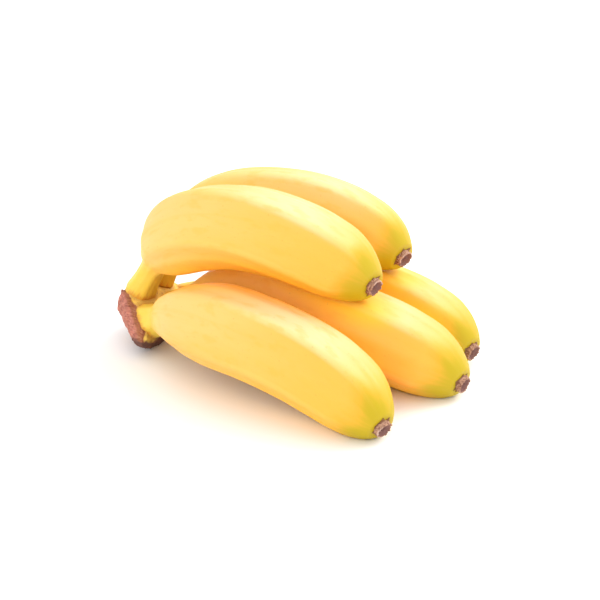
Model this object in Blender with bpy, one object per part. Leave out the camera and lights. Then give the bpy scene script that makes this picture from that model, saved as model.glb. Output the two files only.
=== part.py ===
"""A hand of five baby bananas on their cut crown, lying on a surface. Metres, +Z up.

Each finger is one solid with its own stalk. It follows a curved centre line that starts in the
crown, with a soft five-sided section whose size changes along it.
"""

import math

import bmesh
import bpy
import numpy as np

# Driving dimensions of every finger
FINGER_WIDTH = 0.0304
TIP_WIDTH = 0.0104
RIDGES = 5
BODY_RIDGE = 0.040
STALK_RIDGE = 0.040
RIDGE_SHARPNESS = 0.3
FINGER_SIDES = 25
FINGER_RINGS = 36
ROOT_DEPTH = 0.003
ROOT_TAPER = 0.65
SHARP_ANGLE = 50

# Places along a finger run from 0 at the crown to 1 at the tip: where its direction is set, and
# how its rings are spread, closer together on the shoulder and the tip
BENDS_AT = (0.0, 0.14, 0.32, 0.61, 1.0)
RING_NUMBER = (0.0, 0.15, 0.40, 0.70, 0.85, 1.0)
RING_AT = (0.0, 0.14, 0.34, 0.78, 0.93, 1.0)

# Root position, centre-line length, width factor, stalk radius, share of the length left off at
# the root, how much later the shoulder comes, place of one ridge at the root and at the tip (degrees
# round the finger, 90 on top), and at each bend the heading (degrees from +X towards +Y) and the
# pitch (degrees above level)
FINGERS = {
    "top_front": {
        "root": (-0.0034, -0.0059, 0.0197),
        "length": 0.1188,
        "girth": 0.985,
        "stalk": 0.0048,
        "left_off": 0.0,
        "late": 0.0,
        "ridge_at": (94, 134),
        "heading": (-22.5, -15.5, -5.5, 8, 21.5),
        "pitch": (53.5, 53.5, 35, -4.5, -34.5),
    },
    "top_back": {
        "root": (-0.0038, 0.0069, 0.0198),
        "length": 0.1136,
        "girth": 0.93,
        "stalk": 0.0045,
        "left_off": 0.0,
        "late": 0.0,
        "ridge_at": (110, 116),
        "heading": (23, 23, 21, 16, 13.5),
        "pitch": (61.5, 62.5, 26, -4, -32.5),
    },
    "low_front": {
        "root": (0.0008, -0.0113, 0.0097),
        "length": 0.1260,
        "girth": 1.01,
        "stalk": 0.0061,
        "left_off": 0.03,
        "late": 0.018,
        "ridge_at": (126, 117),
        "heading": (-21.5, -24.5, -14.5, -0.5, -11),
        "pitch": (22, 24.5, 9, -10, -29.5),
    },
    "low_mid": {
        "root": (0.0001, 0.0024, 0.0093),
        "length": 0.1301,
        "girth": 1.00,
        "stalk": 0.0056,
        "left_off": 0.0,
        "late": 0.0,
        "ridge_at": (122, 122),
        "heading": (4, 2.5, 0.5, 5.5, 8.5),
        "pitch": (31, 25, 2, -7, -26),
    },
    "low_back": {
        "root": (0.0008, 0.0159, 0.0095),
        "length": 0.1202,
        "girth": 0.98,
        "stalk": 0.0052,
        "left_off": 0.0,
        "late": 0.0,
        "ridge_at": (112, 118),
        "heading": (26, 25.5, 18, 2.5, -1),
        "pitch": (24, 11, 6, -3.5, -24.5),
    },
}

# Dry blossom end: distance beyond the finger's tip, radius and depth of its ragged edge
BLOSSOM_RINGS = (
    (0.0003, 0.0037, 0.0001),
    (0.0007, 0.0041, 0.0004),
    (0.0014, 0.0038, 0.0002),
    (0.0020, 0.0039, 0.0004),
    (0.0021, 0.0033, 0.0002),
    (0.0016, 0.0022, 0.0001),
)
BLOSSOM_SCAR_DEPTH = 0.0014
BLOSSOM_TEARS = ((5, 0.6), (8, 0.4))
BLOSSOM_LEAN = 0.8
BLOSSOM_SIDES = 20

# Crown: from its cut face (low X) to the fingers, half width, underside and top
CROWN_X = (-0.0118, -0.0115, -0.0098, -0.0060, -0.0020, 0.0020, 0.0054, 0.0070)
CROWN_HALF_WIDTH = (0.0085, 0.0103, 0.0133, 0.0168, 0.0201, 0.0226, 0.0230, 0.0210)
CROWN_UNDERSIDE = (0.0100, 0.0092, 0.0070, 0.0042, 0.0014, -0.0004, -0.0002, 0.0024)
CROWN_TOP = (0.0165, 0.0180, 0.0205, 0.0210, 0.0196, 0.0172, 0.0156, 0.0136)
CROWN_MIDDLE_Y = 0.0
# Its section is an oval, squarer above than below: 2 is an ellipse, more is squarer
CROWN_OVAL_TOP = 2.9
CROWN_OVAL_UNDERSIDE = 1.9
CROWN_CUT_HOLLOW = 0.0008
# Its front end reaches forward round the low front stalk, and its top slopes down to the back
CROWN_WRAP = 0.0040
CROWN_SLOPE_FROM_Y = 0.004
CROWN_SLOPE = 0.26
CROWN_FIBRE_DEPTH = 0.0003
CROWN_FIBRES = 19
CROWN_FIBRE_TWIST = 400.0
CROWN_FIBRE_BUNCHING = 2.0
CROWN_SIDES = 60

# Clearance between solids that touch
GAP = 0.0003

# Level of the surface that the hand lies on, which presses its underside flat
SURFACE = 0.0007


def clear_scene():
    for thing in list(bpy.data.objects):
        bpy.data.objects.remove(thing, do_unlink=True)


def new_collection(name, hidden=False):
    group = bpy.data.collections.new(name)
    group.hide_render = hidden
    bpy.context.scene.collection.children.link(group)
    return group


def material(name, colour, roughness):
    made = bpy.data.materials.new(name)
    made.use_nodes = True
    shader = made.node_tree.nodes["Principled BSDF"]
    shader.inputs["Base Color"].default_value = (*colour, 1.0)
    shader.inputs["Roughness"].default_value = roughness
    shader.inputs["Metallic"].default_value = 0.0
    made.diffuse_color = (*colour, 1.0)
    return made


def smooth_curve(stations, values, at):
    """A smooth curve through values at stations, read at one or many places."""
    stations = np.asarray(stations, float)
    values = np.asarray(values, float)
    slopes = np.gradient(values, stations)
    left = np.clip(np.searchsorted(stations, at, side="right") - 1, 0, len(stations) - 2)
    width = stations[left + 1] - stations[left]
    u = (at - stations[left]) / width
    ends = values[left] * (1 + 2 * u) * (1 - u) ** 2 + values[left + 1] * u * u * (3 - 2 * u)
    return ends + width * u * (1 - u) * (slopes[left] * (1 - u) - slopes[left + 1] * u)


def centre_line(finger, shares):
    """Points on a finger's centre line at these shares of its length, each with its three axes."""
    fine = np.linspace(0, 1, 301)
    heading = np.radians(smooth_curve(BENDS_AT, finger["heading"], fine))
    pitch = np.radians(smooth_curve(BENDS_AT, finger["pitch"], fine))
    level = np.stack([np.cos(heading), np.sin(heading), np.zeros_like(fine)], axis=1)
    along = level * np.cos(pitch)[:, None]
    along[:, 2] = np.sin(pitch)
    steps = (along[1:] + along[:-1]) / 2 * finger["length"] / (len(fine) - 1)
    points = np.array(finger["root"]) + np.vstack([np.zeros(3), np.cumsum(steps, axis=0)])

    def at_shares(rows):
        return np.stack([np.interp(shares, fine, rows[:, k]) for k in range(3)], axis=1)

    along = at_shares(along)
    along /= np.linalg.norm(along, axis=1)[:, None]
    side = np.stack([-along[:, 1], along[:, 0], np.zeros(len(shares))], axis=1)
    side /= np.linalg.norm(side, axis=1)[:, None]
    return at_shares(points), side, np.cross(along, side), along


def finger_radius(finger, shares):
    """Half the finger's width: a slim stalk, a quick shoulder, a long body and a blunt tip."""
    stalk = finger["stalk"]
    body = finger["girth"] * FINGER_WIDTH / 2
    late = finger["late"]
    profile = {
        0.00: stalk * 1.14,
        0.08: stalk,
        0.14 + late: stalk * 1.05,
        0.165 + late: stalk * 1.25,
        0.205 + late: (stalk + body * 0.84) / 2,
        0.245 + late: body * 0.73,
        0.295 + late: body * 0.86,
        0.39: body * 0.97,
        0.54: body,
        0.69: body * 0.99,
        0.81: body * 0.945,
        0.90: body * 0.83,
        0.955: body * 0.65,
        0.985: body * 0.475,
        1.00: TIP_WIDTH / 2,
    }
    return smooth_curve(list(profile), list(profile.values()), shares)


def ridge_depth(shares):
    """The five soft ridges stand out most on the stalk and fade out at the tip."""
    stations = (0.0, 0.18, 0.35, 0.80, 1.0)
    depths = (STALK_RIDGE, STALK_RIDGE, BODY_RIDGE, BODY_RIDGE, 0.0)
    return smooth_curve(stations, depths, shares)


def lathe_sphere(sides, rings):
    """A UV sphere as bmesh, and for each vertex its ring from 0 to rings and its angle."""
    bm = bmesh.new()
    bmesh.ops.create_uvsphere(bm, u_segments=sides, v_segments=rings, radius=1.0)
    placed = []
    for vertex in bm.verts:
        x, y, z = vertex.co
        ring = round(rings * (1 - math.acos(max(-1.0, min(1.0, z))) / math.pi))
        angle = math.atan2(y, x) + math.pi / 2
        placed.append((vertex, ring, angle))
    return bm, placed


def finish_mesh(bm, name):
    mesh = bpy.data.meshes.new(name)
    bm.to_mesh(mesh)
    bm.free()
    mesh.shade_smooth()
    mesh.set_sharp_from_angle(angle=math.radians(SHARP_ANGLE))
    return mesh


def finger_mesh(name, finger, clearance=0.0):
    """One finger as a closed skin. A clearance makes the larger shape of its socket."""
    bm, placed = lathe_sphere(FINGER_SIDES, FINGER_RINGS)
    even = np.clip((np.arange(FINGER_RINGS + 1) - 2) / (FINGER_RINGS - 3), 0, 1)
    shares = smooth_curve(RING_NUMBER, RING_AT, even)
    shares = finger["left_off"] + (1 - finger["left_off"]) * shares
    centres, side, up, along = centre_line(finger, shares)
    radii = finger_radius(finger, shares)
    radii[1] *= ROOT_TAPER
    radii += clearance
    ridges = ridge_depth(shares)
    turns = np.radians(np.interp(shares, (0, 1), finger["ridge_at"]) - 90)
    for vertex, ring, angle in placed:
        on_axis = ring in (0, FINGER_RINGS)
        spread = 0.0 if on_axis else radii[ring]
        wave = RIDGES * (angle - math.pi / 2)
        spread *= 1 + ridges[ring] * (math.cos(wave) + RIDGE_SHARPNESS * math.cos(2 * wave))
        angle += turns[ring]
        place = centres[ring] + spread * (math.cos(angle) * side[ring] + math.sin(angle) * up[ring])
        if ring <= 1:
            place = place - (ROOT_DEPTH + clearance) * along[0]
        # The underside is pressed flat where it meets the surface
        place[2] = max(place[2], SURFACE)
        vertex.co = place
    return finish_mesh(bm, name)


def ragged(angle, turn):
    """A torn edge's in and out, between about -1 and 1, different for each turn."""
    return sum(share * math.cos(count * (angle + turn)) for count, share in BLOSSOM_TEARS)


def blossom_end_mesh(name, finger, turn):
    """The dry stub on a finger's tip: a short flared collar round a sunken scar."""
    rings = len(BLOSSOM_RINGS) + 1
    bm, placed = lathe_sphere(BLOSSOM_SIDES, rings)
    centres, side, up, along = centre_line(finger, np.array([1.0]))
    beyond = [GAP] + [ring[0] for ring in BLOSSOM_RINGS] + [BLOSSOM_SCAR_DEPTH]
    radii = [0.0] + [ring[1] for ring in BLOSSOM_RINGS] + [0.0]
    tears = [0.0] + [ring[2] for ring in BLOSSOM_RINGS] + [0.0]
    for vertex, ring, angle in placed:
        tear = tears[ring] * ragged(angle, turn)
        spread = radii[ring] + tear
        across = spread * (math.cos(angle) * side[0] + math.sin(angle) * up[0])
        vertex.co = centres[0] + across + (beyond[ring] + BLOSSOM_LEAN * tear) * along[0]
    return finish_mesh(bm, name)


def crown_mesh(name):
    """The crown before its sockets are cut: a fibrous cushion, leaning out over its cut face."""
    rings = len(CROWN_X) + 1
    bm, placed = lathe_sphere(CROWN_SIDES, rings)
    for vertex, ring, angle in placed:
        on_axis = ring in (0, rings)
        row = min(max(ring - 1, 0), rings - 2)
        x = CROWN_X[row]
        middle = (CROWN_TOP[row] + CROWN_UNDERSIDE[row]) / 2
        half_height = (CROWN_TOP[row] - CROWN_UNDERSIDE[row]) / 2
        oval = CROWN_OVAL_TOP if math.sin(angle) > 0 else CROWN_OVAL_UNDERSIDE
        reach = (abs(math.cos(angle)) ** oval + abs(math.sin(angle)) ** oval) ** (-1 / oval)
        reach = 0.0 if on_axis else reach
        wave = CROWN_FIBRES * angle + CROWN_FIBRE_BUNCHING * math.sin(3 * angle)
        wave += CROWN_FIBRE_TWIST * x
        fibre = 0.0 if on_axis else CROWN_FIBRE_DEPTH * math.sin(wave)
        y = CROWN_MIDDLE_Y + (reach * CROWN_HALF_WIDTH[row] + fibre) * math.cos(angle)
        z = middle + (reach * half_height + fibre) * math.sin(angle)
        height_share = (z - CROWN_UNDERSIDE[row]) / (2 * half_height)
        z -= CROWN_SLOPE * max(0.0, y - CROWN_SLOPE_FROM_Y) * height_share
        x += CROWN_WRAP * (max(0.0, CROWN_MIDDLE_Y - y) / max(CROWN_HALF_WIDTH)) ** 2
        if ring == 0:
            x += CROWN_CUT_HOLLOW
        vertex.co = (x, y, max(z, SURFACE))
    return finish_mesh(bm, name)


def add_part(name, mesh, group, finish, hand):
    mesh.materials.append(finish)
    part = bpy.data.objects.new(name, mesh)
    group.objects.link(part)
    part.parent = hand
    return part


def cut_sockets(crown, cutters):
    for cutter in cutters:
        cut = crown.modifiers.new("socket_" + cutter.name, "BOOLEAN")
        cut.operation = "DIFFERENCE"
        cut.solver = "EXACT"
        cut.object = cutter


def rest_on_origin(hand, parts):
    """Moves the hand so that the middle of its underside is at the origin."""
    bpy.context.view_layer.update()
    graph = bpy.context.evaluated_depsgraph_get()
    corners = []
    for part in parts:
        corners += [part.matrix_world @ v.co for v in part.evaluated_get(graph).data.vertices]
    low = [min(corner[k] for corner in corners) for k in range(3)]
    high = [max(corner[k] for corner in corners) for k in range(3)]
    hand.location = (-(low[0] + high[0]) / 2, -(low[1] + high[1]) / 2, -low[2])


def build():
    clear_scene()
    bananas = new_collection("baby_bananas")
    cutters = new_collection("stalk_cutters", hidden=True)
    peel = material("peel", (0.90, 0.62, 0.10), 0.42)
    dry = material("blossom_end", (0.10, 0.05, 0.035), 0.85)
    cork = material("crown", (0.42, 0.19, 0.12), 0.80)

    hand = bpy.data.objects.new("hand", None)
    bananas.objects.link(hand)
    parts = []
    sockets = []
    for turn, (where, finger) in enumerate(FINGERS.items()):
        mesh = finger_mesh("banana_" + where, finger)
        parts.append(add_part("banana_" + where, mesh, bananas, peel, hand))
        mesh = blossom_end_mesh("blossom_end_" + where, finger, turn)
        parts.append(add_part("blossom_end_" + where, mesh, bananas, dry, hand))
        mesh = finger_mesh("socket_" + where, finger, clearance=GAP)
        cutter = add_part("socket_" + where, mesh, cutters, cork, hand)
        cutter.hide_render = True
        cutter.display_type = "WIRE"
        sockets.append(cutter)

    crown = add_part("crown", crown_mesh("crown"), bananas, cork, hand)
    cut_sockets(crown, sockets)
    parts.append(crown)
    rest_on_origin(hand, parts)


build()
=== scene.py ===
"""Looks for a hand of five baby bananas lying on a white floor. Metres, +Z up."""

import math

import bpy
import numpy as np
from mathutils import Matrix, Vector, noise


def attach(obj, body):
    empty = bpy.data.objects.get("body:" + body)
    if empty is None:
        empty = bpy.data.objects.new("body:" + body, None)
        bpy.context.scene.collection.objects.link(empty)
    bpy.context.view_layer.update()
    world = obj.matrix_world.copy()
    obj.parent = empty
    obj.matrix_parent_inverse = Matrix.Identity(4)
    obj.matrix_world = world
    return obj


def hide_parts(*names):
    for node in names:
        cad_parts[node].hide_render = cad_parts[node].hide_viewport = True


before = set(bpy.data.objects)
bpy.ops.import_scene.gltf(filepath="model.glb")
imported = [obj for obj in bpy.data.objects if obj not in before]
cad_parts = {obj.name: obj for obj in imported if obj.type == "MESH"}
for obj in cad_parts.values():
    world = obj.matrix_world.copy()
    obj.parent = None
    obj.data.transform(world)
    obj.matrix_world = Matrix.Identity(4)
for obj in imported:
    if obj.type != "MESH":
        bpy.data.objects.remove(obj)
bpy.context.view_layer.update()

# Camera: it looks down at the hand from the front, from the side of the tips, as a long lens does
# from an arm's length away.
AIM = Vector((0.0018, -0.0033, 0.0243))
CAMERA_AZIMUTH = math.radians(33)
CAMERA_ELEVATION = math.radians(23)
CAMERA_DISTANCE = 0.700
CAMERA_LENS_MM = 116.3
CAMERA_SENSOR_MM = 36.0
CAMERA_SHIFT_X = 0.0158
CAMERA_SHIFT_Y = 0.0133
CAMERA_SEES_TO = 50.0


def add_object(name, data):
    """A new object in the scene, for a mesh, a curve, a lamp or the camera."""
    made = bpy.data.objects.new(name, data)
    bpy.context.scene.collection.objects.link(made)
    return made


towards_camera = Vector((
    math.sin(CAMERA_AZIMUTH) * math.cos(CAMERA_ELEVATION),
    -math.cos(CAMERA_AZIMUTH) * math.cos(CAMERA_ELEVATION),
    math.sin(CAMERA_ELEVATION),
))
camera_data = bpy.data.cameras.new("camera")
camera_data.lens = CAMERA_LENS_MM
camera_data.sensor_width = CAMERA_SENSOR_MM
camera_data.shift_x = CAMERA_SHIFT_X
camera_data.shift_y = CAMERA_SHIFT_Y
camera_data.clip_end = CAMERA_SEES_TO
camera = add_object("camera", camera_data)
camera.location = AIM + CAMERA_DISTANCE * towards_camera
camera.rotation_euler = towards_camera.to_track_quat("Z", "Y").to_euler()
bpy.context.scene.camera = camera

# Bananas: each is one grown fruit with its own stalk, and a waxy peel with five soft ridges that
# run from the stalk to the tip. The skin is swept along the finger's curved centre line.
HAND_AT = np.array([-0.0581767, -0.0032766, -0.0007])
FINGER_WIDTH = 0.0304
TIP_WIDTH = 0.0104
LINE_SHARES = np.linspace(0, 1, 401)
# The tips are cut askew towards the front, and pulled back a little as they are
FRONT = np.array([0.50, -0.77, 0.39])
END_PULLED_IN = 0.0010
# Warm bounce light is painted on the peel where another finger lies close
BODY_SHARES = np.linspace(0, 1, 61)
PAINTED_BOUNCE_WITHIN = 0.013
PAINTED_BOUNCE_MOST = 0.001
# How much of the painted highlight and painted shade follows the whole flat between two ridges, not
# the point on it
FLAT_SHARE = 0.6
# Roots are places on the crown, sizes are metres, and turns are degrees. Heading and pitch are
# given where a finger bends, "late" puts off its shoulder, and "left_off" is inside the crown.
BENDS_AT = (0.0, 0.14, 0.32, 0.61, 1.0)
FINGERS = {
    "top_front": {
        "root": (-0.0034, -0.0059, 0.0197),
        "length": 0.1188,
        "girth": 0.985,
        "stalk": 0.0048,
        "left_off": 0.0,
        "late": 0.0,
        "shoulder": 0.035,
        "ridge_at": (94, 134),
        "end_turned": 32,
        "heading": (-22.5, -15.5, -5.5, 8, 21.5),
        "pitch": (53.5, 53.5, 35, -4.5, -34.5),
    },
    "top_back": {
        "root": (-0.0038, 0.0069, 0.0198),
        "length": 0.1136,
        "girth": 0.93,
        "stalk": 0.0045,
        "left_off": 0.0,
        "late": 0.0,
        "shoulder": 0.0,
        "ridge_at": (110, 116),
        "end_turned": 28,
        "heading": (23, 23, 21, 16, 13.5),
        "pitch": (61.5, 62.5, 26, -4, -36),
    },
    "low_front": {
        "root": (0.0008, -0.0113, 0.0097),
        "length": 0.1260,
        "girth": 1.01,
        "stalk": 0.0061,
        "left_off": 0.03,
        "late": 0.018,
        "shoulder": 0.0,
        "ridge_at": (126, 117),
        "end_turned": 9,
        "heading": (-21.5, -24.5, -14.5, -0.5, -11),
        "pitch": (22, 24.5, 9, -10, -29.5),
    },
    "low_mid": {
        "root": (0.0001, 0.0024, 0.0093),
        "length": 0.1301,
        "girth": 1.00,
        "stalk": 0.0056,
        "left_off": 0.0,
        "late": 0.0,
        "shoulder": 0.0,
        "ridge_at": (122, 122),
        "end_turned": 17,
        "heading": (4, 2.5, 0.5, 5.5, 8.5),
        "pitch": (31, 25, 2, -7, -26),
    },
    "low_back": {
        "root": (0.0008, 0.0159, 0.0095),
        "length": 0.1202,
        "girth": 0.98,
        "stalk": 0.0052,
        "left_off": 0.0,
        "late": 0.0,
        "shoulder": 0.0,
        "ridge_at": (112, 118),
        "end_turned": 12,
        "heading": (26, 25.5, 18, 2.5, -1),
        "pitch": (24, 11, 6, -3.5, -24.5),
    },
}


def smooth_curve(stations, values, at):
    """A smooth curve through values at stations, read at one or many places."""
    stations = np.asarray(stations, float)
    values = np.asarray(values, float)
    slopes = np.gradient(values, stations)
    left = np.clip(np.searchsorted(stations, at, side="right") - 1, 0, len(stations) - 2)
    width = stations[left + 1] - stations[left]
    u = (at - stations[left]) / width
    ends = values[left] * (1 + 2 * u) * (1 - u) ** 2 + values[left + 1] * u * u * (3 - 2 * u)
    return ends + width * u * (1 - u) * (slopes[left] * (1 - u) - slopes[left + 1] * u)


def centre_line(finger, shares):
    """Points along a finger's centre line and its direction there, at even steps."""
    heading = np.radians(smooth_curve(BENDS_AT, finger["heading"], shares))
    pitch = np.radians(smooth_curve(BENDS_AT, finger["pitch"], shares))
    level = np.stack([np.cos(heading), np.sin(heading), np.zeros_like(shares)], axis=1)
    along = level * np.cos(pitch)[:, None]
    along[:, 2] = np.sin(pitch)
    steps = (along[1:] + along[:-1]) / 2 * finger["length"] / (len(shares) - 1)
    start = HAND_AT + np.array(finger["root"])
    return start + np.vstack([np.zeros(3), np.cumsum(steps, axis=0)]), along


def end_lean(finger, along):
    """How the finger's end is cut askew towards the front, as a vector across the finger."""
    across = FRONT - along * (FRONT @ along)
    return across / np.linalg.norm(across) * math.tan(math.radians(finger["end_turned"]))


def finger_radius(finger, shares):
    """Half the finger's width: a slim stalk, a quick shoulder, a long body and a blunt tip."""
    stalk = finger["stalk"]
    body = finger["girth"] * FINGER_WIDTH / 2
    late = finger["late"]
    shoulder = finger["shoulder"]
    profile = {
        0.00: stalk * 1.22,
        0.08: stalk,
        0.14 + late: stalk * 1.05,
        0.165 + late: stalk * 1.25,
        0.205 + late: (stalk + body * (0.84 + shoulder)) / 2,
        0.245 + late: body * (0.73 + shoulder),
        0.295 + late: body * (0.86 + shoulder / 2),
        0.39: body * 0.97,
        0.54: body,
        0.69: body * 0.99,
        0.81: body * 0.945,
        0.90: body * 0.83,
        0.955: body * 0.65,
        0.985: body * 0.475,
        1.00: TIP_WIDTH / 2,
    }
    return smooth_curve(list(profile), list(profile.values()), shares)


def add_node(tree, kind, feeds=None, **settings):
    """A node with its settings, and its inputs fed by sockets or set to plain values."""
    made = tree.nodes.new(kind)
    for name, value in settings.items():
        setattr(made, name, value)
    for key, feed in (feeds or {}).items():
        if isinstance(feed, bpy.types.NodeSocket):
            tree.links.new(feed, made.inputs[key])
        else:
            made.inputs[key].default_value = feed
    return made


def value_of(tree, operation, *feeds, clamp=False):
    """A number worked out from others."""
    settings = {"operation": operation, "use_clamp": clamp}
    return add_node(tree, "ShaderNodeMath", dict(enumerate(feeds)), **settings).outputs[0]


def vector_of(tree, operation, *feeds):
    """A vector worked out from others."""
    made = add_node(tree, "ShaderNodeVectorMath", dict(enumerate(feeds)), operation=operation)
    return made.outputs[0]


def scaled(tree, vector, amount):
    """A vector made longer or shorter."""
    feeds = {0: vector, "Scale": amount}
    return add_node(tree, "ShaderNodeVectorMath", feeds, operation="SCALE").outputs[0]


def facing_by(tree, first, second):
    """How far two directions agree."""
    feeds = {0: first, 1: second}
    made = add_node(tree, "ShaderNodeVectorMath", feeds, operation="DOT_PRODUCT")
    return made.outputs["Value"]


def joined(tree, **parts):
    """A vector from its X, Y and Z."""
    return add_node(tree, "ShaderNodeCombineXYZ", parts).outputs[0]


def span(tree, value, low, high, to_low, to_high, soft=True):
    """A value taken from one span to another, eased at both ends."""
    feeds = {"Value": value, "From Min": low, "From Max": high, "To Min": to_low, "To Max": to_high}
    kind = "SMOOTHSTEP" if soft else "LINEAR"
    return add_node(tree, "ShaderNodeMapRange", feeds, interpolation_type=kind).outputs[0]


def noted(tree, geometry, name, value, kind="FLOAT", domain="POINT"):
    """The geometry with a named value noted on its points or face corners."""
    feeds = {"Geometry": geometry, "Name": name, "Value": value}
    settings = {"data_type": kind, "domain": domain}
    return add_node(tree, "GeometryNodeStoreNamedAttribute", feeds, **settings).outputs[0]


def empty_tree(name, taken, sizes, given_back):
    """A tree that takes one geometry and named sizes, and will give one geometry back."""
    tree = bpy.data.node_groups.new(name, "GeometryNodeTree")
    face = tree.interface
    face.new_socket(taken, in_out="INPUT", socket_type="NodeSocketGeometry")
    for title, kind, value in sizes:
        socket = face.new_socket(title, in_out="INPUT", socket_type="NodeSocket" + kind)
        if value is not None:
            socket.default_value = value
    face.new_socket(given_back, in_out="OUTPUT", socket_type="NodeSocketGeometry")
    return tree, tree.nodes.new("NodeGroupInput").outputs


def end_tree(tree, geometry, material):
    """Gives the geometry back smooth, as real faces and with its material."""
    geometry = add_node(tree, "GeometryNodeSetShadeSmooth", {"Geometry": geometry}).outputs[0]
    geometry = add_node(tree, "GeometryNodeRealizeInstances", {"Geometry": geometry}).outputs[0]
    feeds = {"Geometry": geometry, "Material": material}
    geometry = add_node(tree, "GeometryNodeSetMaterial", feeds).outputs[0]
    add_node(tree, "NodeGroupOutput", {0: geometry})


def ridges_at(tree, given, turn, share):
    """How high the ridges stand at a point, how near a crest it is, and its flat's middle."""
    height = span(tree, share, 0.18, 0.35, given["Stalk ridge"], given["Body ridge"])
    height = value_of(tree, "MULTIPLY", height, span(tree, share, 0.88, 1.0, 1.0, 0.0))
    at_root, at_tip = given["Ridge at root"], given["Ridge at tip"]
    first_ridge = span(tree, share, 0.0, 1.0, at_root, at_tip, soft=False)
    wave = value_of(tree, "SUBTRACT", turn, first_ridge)
    wave = value_of(tree, "MULTIPLY", wave, given["Ridges"])
    # The flat's number, eased from flat to flat over each ridge
    flats = value_of(tree, "DIVIDE", wave, 2 * math.pi)
    past_ridge = value_of(tree, "FRACT", flats)
    flat_number = value_of(tree, "FLOOR", flats)
    flat_number = value_of(tree, "ADD", flat_number, span(tree, past_ridge, 0.0, 0.14, 0.0, 0.5))
    flat_number = value_of(tree, "ADD", flat_number, span(tree, past_ridge, 0.86, 1.0, 0.0, 0.5))
    middle = value_of(tree, "MULTIPLY", flat_number, 2 * math.pi)
    middle = value_of(tree, "ADD", value_of(tree, "DIVIDE", middle, given["Ridges"]), first_ridge)
    on_crest = value_of(tree, "COSINE", wave)
    sharper = value_of(tree, "COSINE", value_of(tree, "MULTIPLY", wave, 2.0))
    sharper = value_of(tree, "MULTIPLY", sharper, given["Crest"])
    shape = value_of(tree, "ADD", on_crest, sharper)
    return value_of(tree, "MULTIPLY", height, shape), on_crest, middle


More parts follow.
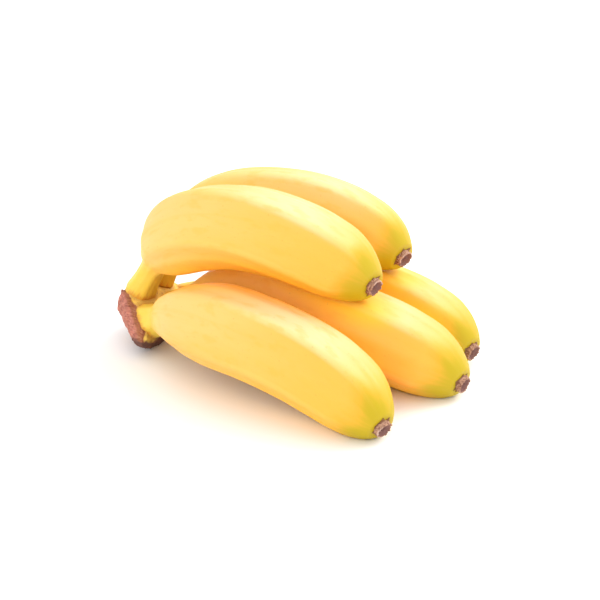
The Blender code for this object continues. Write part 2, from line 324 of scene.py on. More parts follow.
def skin_tree():
    """Sweeps a ridged skin along a centre line, and notes on it where each point lies."""
    sizes = (
        ("Rings", "Int", 300),
        ("Sides", "Int", 110),
        ("Ridges", "Int", 5),
        ("Stalk ridge", "Float", 0.040),
        ("Body ridge", "Float", 0.045),
        ("Crest", "Float", 0.40),
        ("Ridge at root", "Float", 2.0),
        ("Ridge at tip", "Float", 2.0),
        ("Nominal radius", "Float", 0.015),
        ("Unevenness", "Float", 0.020),
        ("Seed", "Float", 0.0),
        ("Length", "Float", 0.12),
        ("Ends share", "Float", 0.012),
        ("End lean", "Vector", (0.0, 0.0, 0.0)),
        ("End pulled in", "Float", 0.0),
        ("Palest side", "Vector", (0.62, -0.10, 0.78)),
        ("Crown", "Object", None),
        ("Peel", "Material", None),
    )
    tree, given = empty_tree("banana_skin", "Centre line", sizes, "Skin")
    sheet = add_node(
        tree,
        "GeometryNodeMeshGrid",
        {
            "Size X": 1.0,
            "Size Y": 1.0,
            "Vertices X": value_of(tree, "ADD", given["Rings"], 1),
            "Vertices Y": value_of(tree, "ADD", given["Sides"], 1),
        },
    )
    on_sheet = tree.nodes.new("GeometryNodeInputPosition").outputs[0]
    on_sheet = add_node(tree, "ShaderNodeSeparateXYZ", {0: on_sheet}).outputs
    lengthwise = value_of(tree, "ADD", on_sheet["X"], 0.5)
    turn = value_of(tree, "MULTIPLY", value_of(tree, "ADD", on_sheet["Y"], 0.5), 2 * math.pi)

    # The first and last rings close the ends
    ends = given["Ends share"]
    far = value_of(tree, "SUBTRACT", 1.0, ends)
    share = span(tree, lengthwise, ends, far, 0.0, 1.0, soft=False)
    closing = value_of(tree, "MINIMUM", lengthwise, value_of(tree, "SUBTRACT", 1.0, lengthwise))
    closing = value_of(tree, "DIVIDE", closing, ends, clamp=True)

    path = add_node(
        tree,
        "GeometryNodeSampleCurve",
        {
            "Curves": given["Centre line"],
            "Value": tree.nodes.new("GeometryNodeInputRadius").outputs[0],
            "Factor": share,
        },
        mode="FACTOR",
        use_all_curves=True,
    ).outputs
    along = path["Tangent"]
    side = vector_of(tree, "CROSS_PRODUCT", (0.0, 0.0, 1.0), along)
    side = vector_of(tree, "NORMALIZE", side)
    up = vector_of(tree, "CROSS_PRODUCT", along, side)
    cosine = value_of(tree, "COSINE", turn)
    sine = value_of(tree, "SINE", turn)

    # Straightened place on the skin, in metres, for patterns that run along the finger
    lined = joined(
        tree,
        X=value_of(tree, "MULTIPLY", cosine, given["Nominal radius"]),
        Y=value_of(tree, "MULTIPLY", sine, given["Nominal radius"]),
        Z=value_of(tree, "MULTIPLY", share, given["Length"]),
    )
    lumps = add_node(
        tree,
        "ShaderNodeTexNoise",
        {
            "Vector": vector_of(tree, "MULTIPLY", lined, (70.0, 70.0, 28.0)),
            "W": given["Seed"],
            "Scale": 1.0,
            "Detail": 1.5,
        },
        noise_dimensions="4D",
    ).outputs[0]
    lumps = value_of(tree, "SUBTRACT", lumps, 0.5)
    lumps = value_of(tree, "MULTIPLY", lumps, given["Unevenness"])

    ridge, on_crest, middle = ridges_at(tree, given, turn, share)
    swell = value_of(tree, "ADD", value_of(tree, "ADD", 1.0, ridge), lumps)
    reach = value_of(tree, "MULTIPLY", path["Value"], swell)
    reach = value_of(tree, "MULTIPLY", reach, closing)
    outward = vector_of(
        tree,
        "ADD",
        scaled(tree, side, value_of(tree, "MULTIPLY", reach, cosine)),
        scaled(tree, up, value_of(tree, "MULTIPLY", reach, sine)),
    )
    place = vector_of(tree, "ADD", path["Position"], outward)
    # The end is cut a little askew
    back = facing_by(tree, outward, given["End lean"])
    back = value_of(tree, "ADD", back, given["End pulled in"])
    back = value_of(tree, "MULTIPLY", back, span(tree, share, 0.87, 1.0, 0.0, -1.0))
    place = vector_of(tree, "ADD", place, scaled(tree, along, back))
    # The underside is pressed flat where it lies on the floor
    place = vector_of(tree, "MAXIMUM", place, (-1.0, -1.0, 0.0))

    # How far the skin, and the whole flat that it is part of, faces the lamp side where the
    # highlight is painted; shade is painted on the flats turned away
    flat_faces = vector_of(
        tree,
        "ADD",
        scaled(tree, side, value_of(tree, "COSINE", middle)),
        scaled(tree, up, value_of(tree, "SINE", middle)),
    )
    point_faces = vector_of(tree, "NORMALIZE", outward)
    facing = value_of(
        tree,
        "ADD",
        value_of(
            tree, "MULTIPLY", 1 - FLAT_SHARE, facing_by(tree, point_faces, given["Palest side"])
        ),
        value_of(tree, "MULTIPLY", FLAT_SHARE, facing_by(tree, flat_faces, given["Palest side"])),
    )

    skin = noted(tree, sheet.outputs["Mesh"], "share", share)
    skin = noted(tree, skin, "crest", on_crest)
    skin = noted(tree, skin, "lined", lined, "FLOAT_VECTOR")
    skin = noted(tree, skin, "peel_map", sheet.outputs["UV Map"], "FLOAT2", "CORNER")
    skin = noted(tree, skin, "facing", facing)
    feeds = {"Geometry": skin, "Position": place}
    skin = add_node(tree, "GeometryNodeSetPosition", feeds).outputs[0]
    feeds = {"Object": given["Crown"]}
    crown = add_node(tree, "GeometryNodeObjectInfo", feeds, transform_space="ORIGINAL")
    feeds = {0: crown.outputs["Geometry"]}
    near = add_node(tree, "GeometryNodeProximity", feeds, target_element="FACES")
    skin = noted(tree, skin, "from_crown", near.outputs["Distance"])
    feeds = {"Geometry": skin, "Distance": 1e-7}
    skin = add_node(tree, "GeometryNodeMergeByDistance", feeds).outputs[0]
    skin = add_node(tree, "GeometryNodeFlipFaces", {"Mesh": skin}).outputs[0]
    end_tree(tree, skin, given["Peel"])
    return tree


def blend_colours(tree, share, first, second):
    """The first colour going over to the second."""
    made = add_node(tree, "ShaderNodeMix", data_type="RGBA")
    for key, feed in ((0, share), (6, first), (7, second)):
        if isinstance(feed, bpy.types.NodeSocket):
            tree.links.new(feed, made.inputs[key])
        else:
            made.inputs[key].default_value = feed if key == 0 else (*feed, 1.0)
    return made.outputs[2]


def attribute(tree, name, output="Fac"):
    """A value that was noted on the mesh."""
    return add_node(tree, "ShaderNodeAttribute", attribute_name=name).outputs[output]


def pattern(tree, place, stretch, detail):
    """An uneven pattern, as fine along each axis as its stretch says."""
    place = vector_of(tree, "MULTIPLY", place, stretch)
    feeds = {"Vector": place, "Scale": 1.0, "Detail": detail}
    return add_node(tree, "ShaderNodeTexNoise", feeds).outputs[0]


def new_material(name):
    """A material, with its tree and its shader."""
    made = bpy.data.materials.new(name)
    made.use_nodes = True
    return made, made.node_tree, made.node_tree.nodes["Principled BSDF"]


def raise_relief(tree, shader, height, strength, depth):
    """Fine relief that is too small to model."""
    feeds = {"Height": height, "Strength": strength, "Distance": depth}
    bump = add_node(tree, "ShaderNodeBump", feeds)
    tree.links.new(bump.outputs[0], shader.inputs["Normal"])


def peel_material():
    """Waxy ripe peel: warm yellow, paler on the body, green on the stalk and round the tip, with a
    painted highlight, painted shade and painted warm bounce light.
    """
    pale = (0.960, 0.500, 0.150)
    golden = (0.960, 0.420, 0.054)
    painted_shade_side = (0.930, 0.600, 0.040)
    painted_bounce_colour = (0.985, 0.560, 0.014)
    painted_highlight_colour = (0.970, 0.640, 0.390)
    crest_pale = (0.90, 0.64, 0.180)
    streak_tan = (0.86, 0.42, 0.045)
    blotch_tan = (0.86, 0.40, 0.040)
    speck_brown = (0.46, 0.22, 0.030)
    tip_green = (0.44, 0.34, 0.003)
    stalk_green = (0.73, 0.58, 0.036)
    foot_brown = (0.66, 0.29, 0.040)

    made, tree, shader = new_material("peel")
    share = attribute(tree, "share")
    lined = attribute(tree, "lined", "Vector")
    clouds = pattern(tree, lined, (60.0, 60.0, 22.0), 4.0)
    streaks = pattern(tree, lined, (420.0, 420.0, 26.0), 5.0)
    mottling = pattern(tree, lined, (300.0, 300.0, 150.0), 3.0)
    specks = pattern(tree, lined, (1300.0, 1300.0, 900.0), 1.0)
    grain = pattern(tree, lined, (900.0, 900.0, 500.0), 3.0)

    body = blend_colours(tree, span(tree, share, 0.35, 0.90, 0.0, 1.0), pale, golden)
    body = blend_colours(tree, span(tree, clouds, 0.35, 0.70, 0.0, 0.45), body, golden)
    facing = attribute(tree, "facing")
    # Painted shade: a more saturated yellow on the flats turned away from the lamp
    body = blend_colours(tree, span(tree, facing, -0.90, -0.20, 0.70, 0.0), body, painted_shade_side)
    # Painted warm bounce light where another finger lies close
    on_body = span(tree, share, 0.12, 0.25, 0.0, 0.85)
    painted_bounce = value_of(tree, "MULTIPLY", attribute(tree, "painted_bounce"), on_body)
    body = blend_colours(tree, painted_bounce, body, painted_bounce_colour)

    # A painted highlight on the flats that face the lamp, and a faint pale line on each crest
    painted_highlight = span(tree, facing, 0.60, 0.94, 0.0, 0.68)
    painted_highlight = value_of(tree, "MULTIPLY", painted_highlight, span(tree, share, 0.22, 0.66, 0.10, 1.0))
    painted_highlight = value_of(tree, "MULTIPLY", painted_highlight, span(tree, share, 0.72, 0.95, 1.0, 0.0))
    painted_highlight = value_of(tree, "MULTIPLY", painted_highlight, value_of(tree, "SUBTRACT", 1.0, painted_bounce))
    body = blend_colours(tree, painted_highlight, body, painted_highlight_colour)
    on_crest = span(tree, attribute(tree, "crest"), 0.84, 1.0, 0.0, 0.16)
    on_crest = value_of(tree, "MULTIPLY", on_crest, span(tree, share, 0.30, 0.60, 0.0, 1.0))
    body = blend_colours(tree, on_crest, body, crest_pale)

    body = blend_colours(tree, span(tree, streaks, 0.50, 0.75, 0.0, 0.20), body, streak_tan)
    body = blend_colours(tree, span(tree, mottling, 0.50, 0.70, 0.0, 0.34), body, blotch_tan)
    body = blend_colours(tree, span(tree, specks, 0.72, 0.77, 0.0, 0.30), body, speck_brown)

    # Green towards the tip and on the stalk, in uneven patches
    uneven = span(tree, clouds, 0.3, 0.7, -0.035, 0.035, soft=False)
    patch = value_of(tree, "ADD", share, uneven)
    uneven = span(tree, streaks, 0.3, 0.7, -0.006, 0.006, soft=False)
    patch = value_of(tree, "ADD", patch, uneven)
    body = blend_colours(tree, span(tree, patch, 0.870, 0.990, 0.0, 0.92), body, tip_green)
    body = blend_colours(tree, span(tree, patch, 0.10, 0.27, 0.65, 0.0), body, stalk_green)

    # Cork creeps from the crown over the foot of the stalk
    uneven = span(tree, streaks, 0.3, 0.7, -0.0012, 0.0012)
    edge = value_of(tree, "ADD", attribute(tree, "from_crown"), uneven)
    body = blend_colours(tree, span(tree, edge, 0.0, 0.0029, 0.85, 0.0), body, foot_brown)
    tree.links.new(body, shader.inputs["Base Color"])

    rough = span(tree, streaks, 0.3, 0.7, 0.44, 0.54)
    tree.links.new(rough, shader.inputs["Roughness"])
    shader.inputs["Specular IOR Level"].default_value = 0.24
    shader.inputs["Subsurface Weight"].default_value = 0.10
    shader.inputs["Subsurface Radius"].default_value = (1.0, 0.7, 0.15)
    shader.inputs["Subsurface Scale"].default_value = 0.003
    relief = value_of(
        tree,
        "ADD",
        value_of(tree, "MULTIPLY", streaks, 0.6),
        value_of(tree, "MULTIPLY", grain, 0.4),
    )
    raise_relief(tree, shader, relief, 0.12, 0.0004)
    return made


def set_inputs(modifier, values):
    """Sets a modifier's inputs, named as in its tree."""
    for item in modifier.node_group.interface.items_tree:
        if item.in_out == "INPUT" and item.name in values:
            modifier[item.identifier] = values[item.name]


def plain_mesh(source, name):
    """The evaluated object as a new plain mesh object."""
    graph = bpy.context.evaluated_depsgraph_get()
    mesh = bpy.data.meshes.new_from_object(source.evaluated_get(graph))
    mesh.name = name
    made = add_object(name, mesh)
    bpy.data.objects.remove(source)
    return made


def places_and_normals(mesh):
    """Where a mesh's points are, and where they face."""
    places = np.empty(len(mesh.vertices) * 3, np.float32)
    normals = np.empty(len(mesh.vertices) * 3, np.float32)
    mesh.vertices.foreach_get("co", places)
    mesh.vertex_normals.foreach_get("vector", normals)
    return places.reshape(-1, 3).astype(float), normals.reshape(-1, 3).astype(float)


def store(mesh, name, values):
    """Notes a value on each of a mesh's points."""
    made = mesh.attributes.new(name, "FLOAT", "POINT")
    made.data.foreach_set("value", np.asarray(values, np.float32))


def eased(values, low, high):
    """0 at low and 1 at high, with a soft start and end."""
    share = np.clip((values - low) / (high - low), 0, 1)
    return share * share * (3 - 2 * share)


def gap_to_others(where, places):
    """How far each point lies from the nearest other finger's skin."""
    nearest = np.full(len(places), 1.0)
    for other, finger in FINGERS.items():
        if other != where:
            line, _ = centre_line(finger, BODY_SHARES)
            radii = finger_radius(finger, BODY_SHARES)
            away = np.linalg.norm(places[:, None, :] - line[None, :, :], axis=2) - radii
            nearest = np.minimum(nearest, away.min(axis=1))
    return nearest


def centre_line_object(name, points, radii):
    """A curve through the points, which carries the finger's radius at each."""
    line = bpy.data.curves.new(name, "CURVE")
    line.dimensions = "3D"
    spline = line.splines.new("POLY")
    spline.points.add(len(points) - 1)
    spline.points.foreach_set("co", np.hstack([points, np.ones((len(points), 1))]).ravel())
    spline.points.foreach_set("radius", radii)
    return add_object(name, line)


peel = peel_material()
skin = skin_tree()
for number, (where, finger) in enumerate(FINGERS.items()):
    points, along = centre_line(finger, LINE_SHARES)
    shown = LINE_SHARES >= finger["left_off"] - 1e-9
    points = points[shown]
    radii = finger_radius(finger, LINE_SHARES[shown])
    holder = centre_line_object("centre_line_" + where, points, radii)
    modifier = holder.modifiers.new("banana_skin", "NODES")
    modifier.node_group = skin
    lean = end_lean(finger, along[-1])
    pulled_in = END_PULLED_IN * float(np.linalg.norm(lean))
    set_inputs(modifier, {
        "Length": finger["length"],
        "Ridge at root": math.radians(finger["ridge_at"][0]),
        "Ridge at tip": math.radians(finger["ridge_at"][1]),
        "End lean": tuple(map(float, lean)),
        "End pulled in": pulled_in,
        "Seed": 3.7 * number,
        "Crown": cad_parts["crown"],
        "Peel": peel,
    })
    banana = plain_mesh(holder, "peel_" + where)
    # Where warm bounce light is painted: how close the other fingers are
    gap = gap_to_others(where, places_and_normals(banana.data)[0])
    store(banana.data, "painted_bounce", eased(gap, PAINTED_BOUNCE_WITHIN, PAINTED_BOUNCE_MOST))
    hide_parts("banana_" + where)
    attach(banana, "root")
    outward = (along[-1] + lean) / np.linalg.norm(along[-1] + lean)
    finger["tip"] = (points[-1] - pulled_in * along[-1], outward)

# Crown: the corky cushion that the stalks grow from, cut off its bunch stem. It is brick red and
# fibrous outside and still peel between the stalks, with shade painted dark underneath and round
# the foot of each stalk.
CROWN_X = (-0.0118, -0.0115, -0.0098, -0.0060, -0.0020, 0.0020, 0.0054, 0.0070)
CROWN_HALF_WIDTH = (0.0085, 0.0103, 0.0133, 0.0168, 0.0201, 0.0226, 0.0230, 0.0210)
CROWN_UNDERSIDE = (0.0100, 0.0092, 0.0070, 0.0042, 0.0014, -0.0004, -0.0002, 0.0024)
CROWN_TOP = (0.0165, 0.0180, 0.0205, 0.0210, 0.0196, 0.0172, 0.0156, 0.0136)
CROWN_OVAL_TOP = 2.9
CROWN_OVAL_UNDERSIDE = 1.9
CROWN_CUT_HOLLOW = 0.0008
CROWN_WRAP = 0.0040
CROWN_SLOPE_FROM_Y = 0.004
CROWN_SLOPE = 0.26
CROWN_ROWS = 190
CROWN_CAP_ROWS = 26
CROWN_SIDES = 300
# The cork's edges along the front, as factor, start in -Y, lean and start in -X
CORK_EDGE = (0.85, 0.0119, 0.62, 0.0042)
CUT_EDGE = (0.79, 0.0116, 0.78, 0.0070)
CORK_BEHIND = 0.0056
CORK_BELOW = 0.0048
# Height, reach and size of the bulge and the notch in the cork's edge
CORK_EDGE_WAVES = ((0.0148, 0.0028, 0.0013), (0.0085, 0.0022, -0.0010))
# Painted shade under the crown: how high it reaches, and how it climbs towards the front
PAINTED_SHADE_BELOW = 0.0052
PAINTED_SHADE_CLIMB = 0.45
PAINTED_SHADE_CLIMB_FROM = 0.015
# Painted shade in the fold round the foot of each stalk: how near a finger it starts, and where it
# is darkest
PAINTED_CREASE_WITHIN = 0.0020
PAINTED_CREASE_MOST = 0.0004
LUMP_HEIGHT = 0.00045
FIBRE_HEIGHT = 0.00028
CRACK_DEPTH = 0.0035
CRACK_WIDTH = 0.10
SPIKE_AT = (-0.0104, -0.0094, 0.0190)
SPIKE_REACH = 0.0009
SPIKE_HEIGHT = 0.0036
# Place, reach and height of single bumps and dents in the crown
CROWN_MARKS = (
    ((-0.0098, -0.0060, 0.0200), 0.0020, -0.0028),
    ((-0.0098, -0.0020, 0.0200), 0.0034, -0.0016),
    ((-0.0012, -0.0126, 0.0180), 0.0022, -0.0007),
    ((0.0036, -0.0164, 0.0162), 0.0026, 0.0009),
    ((-0.0099, -0.0118, 0.0121), 0.0009, -0.0009),
    ((-0.0010, -0.0186, 0.0080), 0.0016, -0.0006),
    ((0.0075, -0.0222, 0.0062), 0.0014, 0.0006),
)


def crown_surface():
    """Rings of points from the middle of the cut face to the middle of the finger side."""
    station = np.linspace(0, len(CROWN_X) - 1, CROWN_ROWS)
    station = np.concatenate([
        np.zeros(CROWN_CAP_ROWS), station, np.full(CROWN_CAP_ROWS, len(CROWN_X) - 1.0)
    ])
    closing = np.linspace(0, 1, CROWN_CAP_ROWS, endpoint=False)
    closing = np.concatenate([closing, np.ones(CROWN_ROWS), closing[::-1]])[:, None]
    number = np.arange(len(CROWN_X))
    x, half_width, underside, top = (
        smooth_curve(number, row, station)[:, None]
        for row in (CROWN_X, CROWN_HALF_WIDTH, CROWN_UNDERSIDE, CROWN_TOP)
    )
    angle = np.linspace(0, 2 * math.pi, CROWN_SIDES, endpoint=False)[None, :]
    oval = np.where(np.sin(angle) > 0, CROWN_OVAL_TOP, CROWN_OVAL_UNDERSIDE)
    reach = (np.abs(np.cos(angle)) ** oval + np.abs(np.sin(angle)) ** oval) ** (-1 / oval) * closing
    y = reach * half_width * np.cos(angle)
    height = (top - underside) / 2
    z = (top + underside) / 2 + reach * height * np.sin(angle)
    z = z - CROWN_SLOPE * np.maximum(0, y - CROWN_SLOPE_FROM_Y) * (z - underside) / (2 * height)
    x = x + CROWN_WRAP * (np.maximum(0, -y) / max(CROWN_HALF_WIDTH)) ** 2
    on_cut = (station == 0)[:, None]
    x = x + np.where(on_cut, CROWN_CUT_HOLLOW * (1 - closing ** 2), 0.0)
    return np.stack([x, y, z], axis=2)


def closed_grid(points, name):
    """A closed skin over rings of points, whose first and last rings are single points."""
    rows, sides = points.shape[:2]
    middles = [points[0].mean(axis=0), points[-1].mean(axis=0)]
    vertices = np.vstack([points[1:-1].reshape(-1, 3), middles])
    rings = rows - 2
    first = len(vertices) - 2
    last_ring = (rings - 1) * sides
    faces = []
    for row in range(rings - 1):
        for side in range(sides):
            after = (side + 1) % sides
            a, b = row * sides + side, row * sides + after
            faces.append((a, b, b + sides, a + sides))
    for side in range(sides):
        after = (side + 1) % sides
        faces.append((first, after, side))
        faces.append((first + 1, last_ring + side, last_ring + after))
    mesh = bpy.data.meshes.new(name)
    mesh.from_pydata(vertices.tolist(), [], faces)
    mesh.shade_smooth()
    return add_object(name, mesh)


def past_edge(edge, x, y):
    """How far points lie past a slanting edge along the crown's front."""
    factor, from_y, lean, from_x = edge
    return factor * (-y - from_y - lean * (x + from_x))


def hump(away, reach):
    """A round bump, 1 at its middle."""
    return np.exp(-(away / reach) ** 2)


def rugged(point, octaves):
    """Uneven relief at a point, finer with more octaves."""
    return noise.fractal(point, 1.0, 2.0, octaves)


def crown_material():
    """Brick red cork with pale and dark fibres and smooth yellow skin between the stalks, with
    painted shade underneath and round the foot of each stalk.
    """
    cork_red = (0.54, 0.200, 0.145)
    cork_dull = (0.42, 0.150, 0.105)
    cork_upper = (0.34, 0.125, 0.060)
    fibre_pale = (0.66, 0.38, 0.24)
    fibre_dark = (0.16, 0.050, 0.040)
    skin_pale = (0.95, 0.70, 0.170)
    skin_golden = (0.90, 0.58, 0.095)
    painted_crease_shade_brown = (0.40, 0.170, 0.030)
    painted_underside_shade = (0.15, 0.068, 0.052)
    fleck_dark = (0.10, 0.040, 0.030)

    made, tree, shader = new_material("crown")
    place = add_node(tree, "ShaderNodeTexCoord").outputs["Object"]
    fibres = pattern(tree, place, (260.0, 1500.0, 1500.0), 4.0)
    mottling = pattern(tree, place, (420.0, 420.0, 420.0), 3.0)
    flecks = pattern(tree, place, (1500.0, 1900.0, 1900.0), 2.0)

    cork = blend_colours(tree, span(tree, mottling, 0.35, 0.65, 0.0, 1.0), cork_red, cork_dull)
    cork = blend_colours(tree, attribute(tree, "upper"), cork, cork_upper)
    cork = blend_colours(tree, span(tree, fibres, 0.56, 0.74, 0.0, 0.6), cork, fibre_pale)
    cork = blend_colours(tree, span(tree, fibres, 0.44, 0.30, 0.0, 0.8), cork, fibre_dark)
    dull = span(tree, mottling, 0.35, 0.70, 0.0, 0.5)
    skin_side = blend_colours(tree, dull, skin_pale, skin_golden)
    # Painted shade in the fold round the foot of each stalk
    painted_crease_shade = value_of(tree, "MULTIPLY", attribute(tree, "painted_crease_shade"), 0.5)
    skin_side = blend_colours(tree, painted_crease_shade, skin_side, painted_crease_shade_brown)
    colour = blend_colours(tree, attribute(tree, "corky"), skin_side, cork)
    # Painted shade on the underside
    colour = blend_colours(tree, attribute(tree, "shade"), colour, painted_underside_shade)
    colour = blend_colours(tree, span(tree, flecks, 0.64, 0.70, 0.0, 0.7), colour, fleck_dark)
    tree.links.new(colour, shader.inputs["Base Color"])
    shader.inputs["Roughness"].default_value = 0.78
    shader.inputs["Specular IOR Level"].default_value = 0.25
    relief = value_of(
        tree,
        "ADD",
        value_of(tree, "MULTIPLY", fibres, 0.7),
        value_of(tree, "MULTIPLY", flecks, 0.3),
    )
    raise_relief(tree, shader, relief, 0.6, 0.0005)
    return made


crown = closed_grid(crown_surface(), "crown_cork")
places, normals = places_and_normals(crown.data)
x, y, z = places.T
wobble = np.array([rugged(place * 330.0, 3) for place in map(Vector, places)])
wander = np.array([
    noise.noise(place * 170.0 + Vector((3.1, 0, 0))) for place in map(Vector, places)
])
# Corky on the cut side and past a line along the front; peel-like on top between the stalks
corky = past_edge(CORK_EDGE, x, y)
for height, reach, bulge in CORK_EDGE_WAVES:
    corky += bulge * hump(z - height, reach)
corky = np.maximum(-(x + CORK_BEHIND), corky)
corky = np.maximum(corky, CORK_BELOW - z)
corky = eased(corky + 0.0006 * wobble + 0.0011 * wander, -0.0003, 0.0004)
upper = corky * eased(past_edge(CUT_EDGE, x, y) + 0.0005 * wobble, 0.0006, -0.0004)
# Painted shade near the fingers, round the foot of each stalk
painted_crease_shade = eased(gap_to_others("crown", places + HAND_AT), PAINTED_CREASE_WITHIN, PAINTED_CREASE_MOST) * (1 - corky)
# Painted shade under the crown, where it faces down
painted_shade_below = PAINTED_SHADE_BELOW + PAINTED_SHADE_CLIMB * np.maximum(0, -y - PAINTED_SHADE_CLIMB_FROM)
shade = eased(z + 0.0010 * wobble - painted_shade_below, 0.0006, -0.0014)
shade = shade * eased(-normals[:, 2], -0.35, 0.15)
relief = np.zeros(len(places))
for number, (place, rough) in enumerate(zip(map(Vector, places), corky)):
    lump = rugged(place * 210.0, 2)
    fibre = rugged(Vector((place.x * 170.0, place.y * 950.0, place.z * 950.0)), 3)
    fold = noise.noise(Vector((place.x * 240.0, place.y * 620.0, place.z * 620.0)))
    crack = max(0.0, CRACK_WIDTH - abs(fold)) * rough
    fine_relief = FIBRE_HEIGHT * fibre - CRACK_DEPTH * crack
    relief[number] = (0.3 + 0.7 * rough) * LUMP_HEIGHT * lump + (0.1 + 0.9 * rough) * fine_relief
for mark, reach, height in CROWN_MARKS:
    relief += height * hump(np.linalg.norm(places - np.array(mark), axis=1), reach)
places += normals * relief[:, None]
from_spike = np.linalg.norm(places - np.array(SPIKE_AT), axis=1)
places[:, 2] += SPIKE_HEIGHT * hump(from_spike, SPIKE_REACH)
places += HAND_AT
places[:, 2] = np.maximum(places[:, 2], 0.0)
crown.data.vertices.foreach_set("co", places.astype(np.float32).ravel())
crown.data.update()
store(crown.data, "corky", corky)
store(crown.data, "upper", upper)
store(crown.data, "shade", shade)
store(crown.data, "painted_crease_shade", painted_crease_shade)
crown.data.materials.append(crown_material())
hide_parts("crown")
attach(crown, "root")

# Blossom ends: the dead flower's dry stub on each tip, a short dark collar with a torn rim round a
# sunken scar, and brown torn points that lie back on the peel.
STUB_ALONG = (
    -0.0016, -0.0014, 0.0000, 0.0007, 0.0013, 0.0018, 0.0020, 0.0017, 0.0013, 0.0012, 0.0016, 0.0017
)
STUB_RADIUS = (
    0.0000, 0.0028, 0.0031, 0.0032, 0.0031, 0.0031, 0.0027, 0.0023, 0.0017, 0.0011, 0.0005, 0.0000
)
STUB_ROWS = 60
STUB_SIDES = 132
RIM_STATION = 5.3
TEAR_SIDEWAYS = 0.05
TEAR_LENGTHWISE = 0.0005
STUB_FIBRE_HEIGHT = 0.00016
STUB_LUMP_HEIGHT = 0.00010
# The side on which the rim is bleached, and how far round it moves from finger to finger
PALE_SIDE = 0.9
PALE_SIDE_STEP = 1.3


def stub_object(name, number):
    """The stub about the Z axis, with a torn rim, noted as rim and scar on its points."""
    station = np.linspace(0, len(STUB_ALONG) - 1, STUB_ROWS)[:, None]
    count = np.arange(len(STUB_ALONG))
    angle = np.linspace(0, 2 * math.pi, STUB_SIDES, endpoint=False)[None, :]
    turn_x, turn_y = np.cos(angle[0]), np.sin(angle[0])
    tear = np.array([
        rugged(Vector((2.6 * a, 2.6 * b, 7.3 * number)), 4) for a, b in zip(turn_x, turn_y)
    ])
    near_rim = hump(station - RIM_STATION, 1.3)
    radius = smooth_curve(count, STUB_RADIUS, station) * (1 + TEAR_SIDEWAYS * near_rim * tear)
    along = smooth_curve(count, STUB_ALONG, station) + TEAR_LENGTHWISE * near_rim * tear
    points = np.stack([radius * np.cos(angle), radius * np.sin(angle), along + 0 * angle], axis=2)
    made = closed_grid(points, name)
    places, normals = places_and_normals(made.data)
    from_axis = np.hypot(places[:, 0], places[:, 1]) + 1e-9
    shift = np.zeros(len(places))
    for spot, (x, y, z) in enumerate(places):
        across = (11 * x / from_axis[spot], 11 * y / from_axis[spot])
        fibre = rugged(Vector((*across, 420 * z + number)), 3)
        lump = rugged(Vector((x, y, z)) * 900 + Vector((number, 0, 0)), 2)
        shift[spot] = STUB_FIBRE_HEIGHT * fibre + STUB_LUMP_HEIGHT * lump
    places += normals * (shift * eased(from_axis, 0.0, 0.0006))[:, None]
    made.data.vertices.foreach_set("co", places.astype(np.float32).ravel())
    rows = np.repeat(np.linspace(0, len(STUB_ALONG) - 1, STUB_ROWS)[1:-1], STUB_SIDES)
    rows = np.append(rows, (0.0, len(STUB_ALONG) - 1.0))
    bleached = PALE_SIDE + PALE_SIDE_STEP * number
    towards = (places[:, 0] * math.cos(bleached) + places[:, 1] * math.sin(bleached)) / from_axis
    store(made.data, "rim", hump(rows - RIM_STATION, 0.6) * eased(towards, 0.0, 0.7))
    store(made.data, "scar", eased(rows, 5.6, 7.0))
    return made


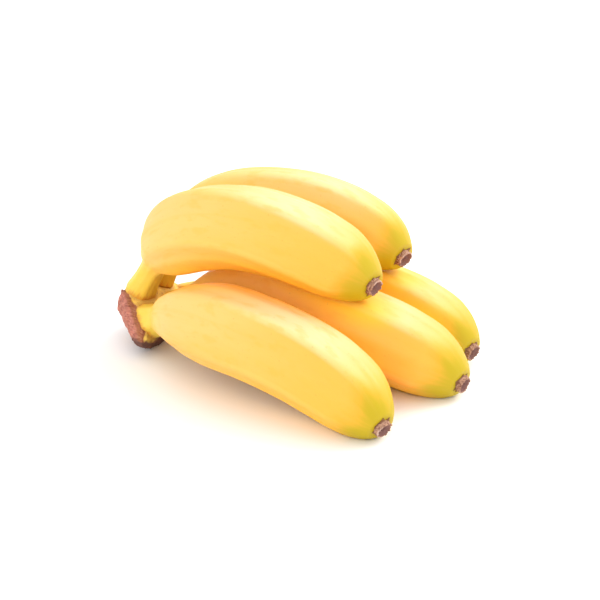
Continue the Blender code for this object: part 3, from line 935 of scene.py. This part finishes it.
def torn_points_tree():
    """Adds a ring of torn points that follow the peel, each a bent flat spike of random size."""
    sizes = (
        ("Count", "Int", 7),
        ("Root radius", "Float", 0.0028),
        ("Shortest", "Float", 0.0006),
        ("Longest", "Float", 0.0021),
        ("Width", "Float", 0.00140),
        ("Thickness", "Float", 0.00016),
        ("Lift", "Float", 0.00012),
        ("Bend radius", "Float", 0.0050),
        ("Slope", "Float", -0.86),
        ("Seed", "Int", 0),
        ("Dry", "Material", None),
    )
    tree, given = empty_tree("torn_points", "Stub", sizes, "Blossom end")

    def random_between(low, high, salt):
        feeds = {2: low, 3: high, "Seed": value_of(tree, "ADD", given["Seed"], salt)}
        return add_node(tree, "FunctionNodeRandomValue", feeds, data_type="FLOAT").outputs[1]

    feeds = {"Vertices": given["Count"], "Radius": given["Root radius"]}
    ring = add_node(tree, "GeometryNodeMeshCircle", feeds)
    spike = add_node(
        tree,
        "GeometryNodeMeshCone",
        {
            "Vertices": 6,
            "Side Segments": 6,
            "Radius Top": 0.08,
            "Radius Bottom": 1.0,
            "Depth": 1.0,
        },
    )
    feeds = {"Geometry": spike.outputs["Mesh"], "Rotation": (0.0, math.pi / 2, 0.0)}
    spike = add_node(tree, "GeometryNodeTransform", feeds)
    where = tree.nodes.new("GeometryNodeInputPosition").outputs[0]
    where = add_node(tree, "ShaderNodeSeparateXYZ", {0: where}).outputs
    round_by = value_of(tree, "ARCTAN2", where["Y"], where["X"])
    round_by = value_of(tree, "ADD", round_by, random_between(-0.5, 0.5, 11))
    size = joined(
        tree,
        X=random_between(given["Shortest"], given["Longest"], 23),
        Y=value_of(tree, "MULTIPLY", given["Width"], random_between(0.6, 1.5, 37)),
        Z=given["Thickness"],
    )
    feeds = {
        "Points": ring.outputs[0],
        "Instance": spike.outputs[0],
        "Rotation": joined(tree, Z=round_by),
        "Scale": size,
    }
    spikes = add_node(tree, "GeometryNodeInstanceOnPoints", feeds).outputs[0]
    spikes = add_node(tree, "GeometryNodeRealizeInstances", {"Geometry": spikes}).outputs[0]

    # Past the shoulder of the tip the points bend down with the peel
    place = tree.nodes.new("GeometryNodeInputPosition").outputs[0]
    level = vector_of(tree, "MULTIPLY", place, (1.0, 1.0, 0.0))
    spread = add_node(tree, "ShaderNodeVectorMath", {0: level}, operation="LENGTH")
    past = value_of(tree, "SUBTRACT", spread.outputs["Value"], given["Bend radius"])
    past = value_of(tree, "MAXIMUM", past, 0.0)
    drop = value_of(tree, "MULTIPLY", past, given["Slope"])
    drop = value_of(tree, "ADD", drop, given["Lift"])
    feeds = {"Geometry": spikes, "Offset": joined(tree, Z=drop)}
    spikes = add_node(tree, "GeometryNodeSetPosition", feeds).outputs[0]
    spikes = noted(tree, spikes, "torn", 1.0)
    both = tree.nodes.new("GeometryNodeJoinGeometry")
    tree.links.new(given["Stub"], both.inputs[0])
    tree.links.new(spikes, both.inputs[0])
    end_tree(tree, both.outputs[0], given["Dry"])
    return tree


def dry_material():
    """Dead brown flower tissue: grainy, darker in the scar and bleached along the rim."""
    dark_brown = (0.21, 0.100, 0.066)
    light_brown = (0.53, 0.305, 0.205)
    scar_purple = (0.220, 0.110, 0.092)
    rim_bleached = (0.62, 0.44, 0.36)
    torn_brown = (0.24, 0.115, 0.045)
    grain_dark = (0.06, 0.028, 0.026)

    made, tree, shader = new_material("blossom_end")
    place = add_node(tree, "ShaderNodeTexCoord").outputs["Object"]
    feeds = {"Vector": place, "Scale": 1600.0, "Detail": 4.0}
    grain = add_node(tree, "ShaderNodeTexNoise", feeds).outputs[0]
    feeds = {"Vector": place, "Scale": 520.0, "Detail": 3.0}
    patches = add_node(tree, "ShaderNodeTexNoise", feeds).outputs[0]

    colour = blend_colours(tree, span(tree, grain, 0.35, 0.65, 0.0, 1.0), dark_brown, light_brown)
    colour = blend_colours(tree, attribute(tree, "scar"), colour, scar_purple)
    patchy = span(tree, patches, 0.38, 0.56, 0.25, 1.0)
    pale = value_of(tree, "MULTIPLY", attribute(tree, "rim"), patchy)
    colour = blend_colours(tree, pale, colour, rim_bleached)
    colour = blend_colours(tree, attribute(tree, "torn"), colour, torn_brown)
    colour = blend_colours(tree, span(tree, grain, 0.60, 0.72, 0.0, 0.8), colour, grain_dark)
    tree.links.new(colour, shader.inputs["Base Color"])
    shader.inputs["Roughness"].default_value = 0.85
    shader.inputs["Specular IOR Level"].default_value = 0.2
    raise_relief(tree, shader, grain, 0.5, 0.0003)
    return made


dry = dry_material()
torn_points = torn_points_tree()
for number, (where, finger) in enumerate(FINGERS.items()):
    stub = stub_object("stub_" + where, number)
    modifier = stub.modifiers.new("torn_points", "NODES")
    modifier.node_group = torn_points
    set_inputs(modifier, {"Seed": 5 * number + 2, "Dry": dry})
    blossom_end = plain_mesh(stub, "dry_" + where)
    tip, along = finger["tip"]
    across = np.array([-along[1], along[0], 0.0]) / math.hypot(along[0], along[1])
    on_tip = Matrix.Identity(4)
    for column, direction in enumerate((across, np.cross(along, across), along, tip)):
        for row in range(3):
            on_tip[row][column] = direction[row]
    blossom_end.data.transform(on_tip)
    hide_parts("blossom_end_" + where)
    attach(blossom_end, "root")

# Floor: a wide sheet of plain matt white board that the hand lies on. It runs on past the edges of
# the view on all sides.
FLOOR_REACH = 6.0
FLOOR_WHITE = (0.92, 0.91, 0.90, 1.0)
floor_mesh = bpy.data.meshes.new("floor")
corners = [(x * FLOOR_REACH, y * FLOOR_REACH, 0) for x, y in ((-1, -1), (1, -1), (1, 1), (-1, 1))]
floor_mesh.from_pydata(corners, [], [(0, 1, 2, 3)])
floor = add_object("floor", floor_mesh)
floor_white, _, floor_shader = new_material("floor_white")
floor_shader.inputs["Base Color"].default_value = FLOOR_WHITE
floor_shader.inputs["Roughness"].default_value = 0.9
floor_mesh.materials.append(floor_white)

# Studio light: an even white surround, one large soft lamp up on the right behind the hand, and a
# wider, weaker one in front that lightens the shadows.
SURROUND_STRENGTH = 1.30
LAMP_DISTANCE = 1.3


def soft_lamp(name, size, watts, direction):
    """A square soft lamp that looks at the hand from a direction."""
    data = bpy.data.lights.new(name, "AREA")
    data.shape = "SQUARE"
    data.size = size
    data.energy = watts
    lamp = add_object(name, data)
    direction = Vector(direction).normalized()
    lamp.location = AIM + LAMP_DISTANCE * direction
    lamp.rotation_euler = direction.to_track_quat("Z", "Y").to_euler()


world = bpy.data.worlds.new("surround")
world.use_nodes = True
surround = world.node_tree.nodes["Background"].inputs
surround["Color"].default_value = (1.0, 1.0, 1.0, 1.0)
surround["Strength"].default_value = SURROUND_STRENGTH
bpy.context.scene.world = world
soft_lamp("softbox", 0.8, 12.8, (0.35, 0.66, 0.66))
soft_lamp("front_fill", 1.2, 3.5, (0.05, -0.90, 0.45))
bpy.context.scene.view_settings.view_transform = "Standard"
